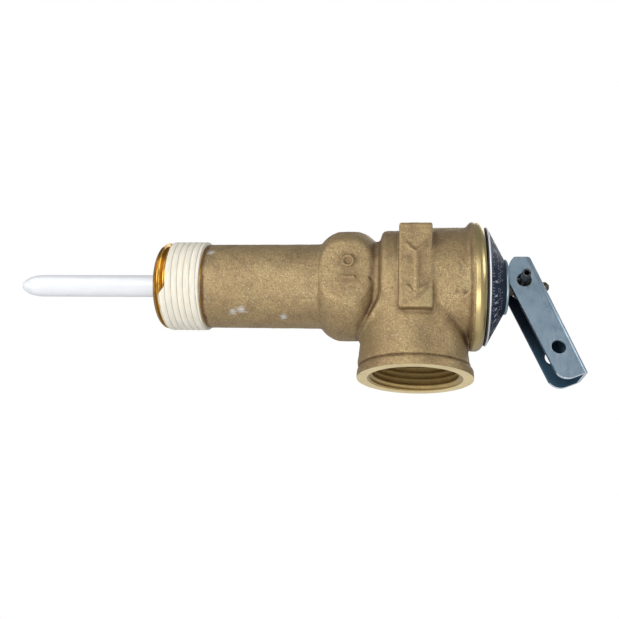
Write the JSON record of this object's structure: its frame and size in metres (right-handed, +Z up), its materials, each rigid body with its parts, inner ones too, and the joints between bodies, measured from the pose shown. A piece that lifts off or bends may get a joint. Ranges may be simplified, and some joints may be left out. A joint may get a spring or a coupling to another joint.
{
  "type": "temperature and pressure relief valve",
  "caption": "Water heater relief valve: cast body with threaded inlet and side outlet, long thermostat probe, spring-loaded disc and a swinging test lever.",
  "frame": {"origin": "on the valve axis, at the shoulder end of the inlet thread", "axes": "+X along the valve axis from the inlet to the test lever, +Z up, the outlet faces -Z, the flow arrow is on the -Y side"},
  "size_m": [0.1684, 0.0376, 0.0475],
  "materials": {
    "cast_bronze": "sand-cast, machined on the rim, threads and outlet face",
    "sealant": "matte, off-white",
    "probe_plastic": "glossy white",
    "tip_plastic": "glossy, slightly greyer",
    "brass": "turned",
    "copper": "drawn copper tube",
    "zinc_plate": "bright zinc plated, bluish",
    "spring_steel": "dark spring steel",
    "stainless": "bright",
    "black_rubber": "matte black",
    "plate_paint": "very dark blue print with pale marks",
    "wax": "solid wax",
    "slip_plastic": "white, slippery"
  },
  "bodies": {
    "casing": {"valve_body": "cast_bronze", "thread_sealant": "sealant", "probe_cap": "tip_plastic", "probe_sleeve": "probe_plastic", "thermostat_tube": "copper", "wax_charge": "wax", "plug": "black_rubber", "plug_washer": "slip_plastic", "guide_bush": "brass", "spider": "brass", "retaining_ring": "spring_steel", "bonnet": "brass", "bonnet_gasket": "black_rubber", "name_plate": "plate_paint", "dust_washer": "black_rubber", "lever_washer": "zinc_plate", "main_spring": "spring_steel", "return_spring": "spring_steel"},
    "stem_unit": {"stem": "brass", "disc_holder": "brass", "seat_disc": "black_rubber", "disc_washer": "brass", "disc_screw": "brass", "stem_clip": "spring_steel", "lower_spring_seat": "stainless", "pivot_pin": "spring_steel"},
    "lever": {"test_lever": "zinc_plate"},
    "rod_unit": {"push_rod": "stainless", "rod_collar": "stainless", "rod_button": "brass"}
  },
  "joints": [
    {"name": "stem_lift", "type": "slide", "parent": "casing", "child": "stem_unit", "axis": [1, 0, 0], "range_m": [0, 0.00335], "stiffness_N_per_m": 1500, "springref_m": -0.003, "deforming": ["main_spring"]},
    {"name": "lever_turn", "type": "hinge", "parent": "stem_unit", "child": "lever", "pos_m": [0.09262, 0, 0], "axis": [0, -1, 0], "range_deg": [0, 60]},
    {"name": "rod_travel", "type": "slide", "parent": "casing", "child": "rod_unit", "axis": [1, 0, 0], "range_m": [0, 0.0025], "stiffness_N_per_m": 100, "springref_m": -0.002, "deforming": ["return_spring"]}
  ],
  "couplings": [
    {"joint": "lever_turn", "follows": "stem_lift", "rad_per_m": 312.5}
  ]
}
